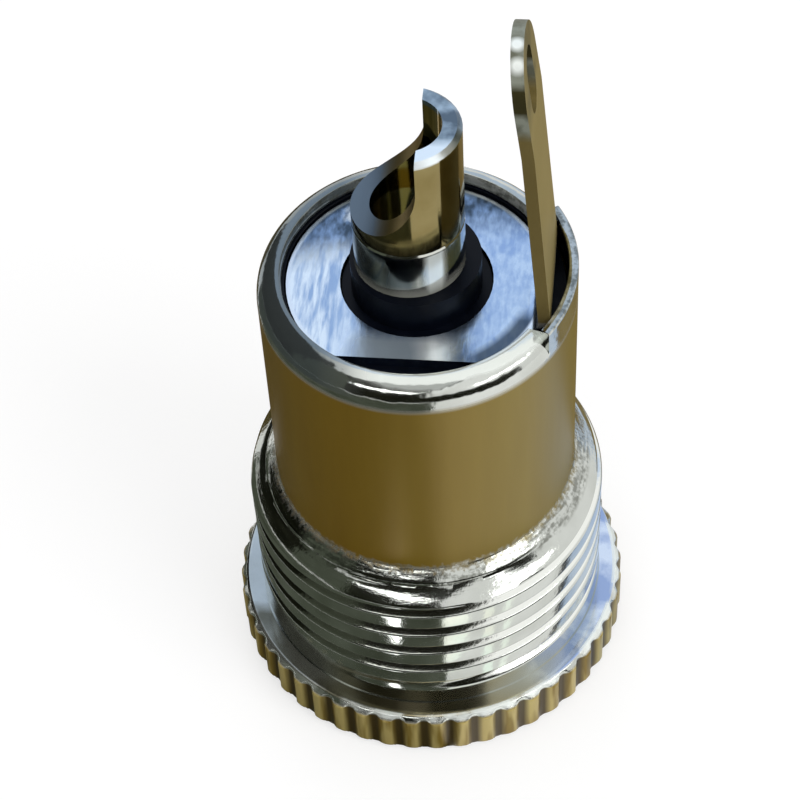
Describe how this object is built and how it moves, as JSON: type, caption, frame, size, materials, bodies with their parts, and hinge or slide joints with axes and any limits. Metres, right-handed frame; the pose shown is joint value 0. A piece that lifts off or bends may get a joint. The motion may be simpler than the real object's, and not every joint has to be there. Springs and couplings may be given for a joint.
{
  "type": "dc barrel jack",
  "caption": "Round panel-mount power jack with a knurled front flange, threaded bushing, rolled rear edge, centre pin with a scooped solder cup and a bent solder lug.",
  "frame": {"origin": "centre of the flange's front face, on the jack's axis", "axes": "+Z along the axis from the plug's mouth to the solder terminals, +X towards the side lug"},
  "size_m": [0.0125, 0.0124, 0.0252],
  "materials": {
    "shell_plating": "bright nickel plating over turned brass",
    "black_moulding": "smooth moulded",
    "plate_plating": "nickel plating over stamped sheet, lightly scratched",
    "pin_plating": "bright nickel plating over turned brass",
    "spring_bronze": "plated spring sheet"
  },
  "bodies": {
    "root": {"shell": "shell_plating", "insulator": "black_moulding", "terminal_plate": "plate_plating", "centre_pin": "pin_plating", "sleeve_spring": "spring_bronze"}
  },
  "joints": []
}
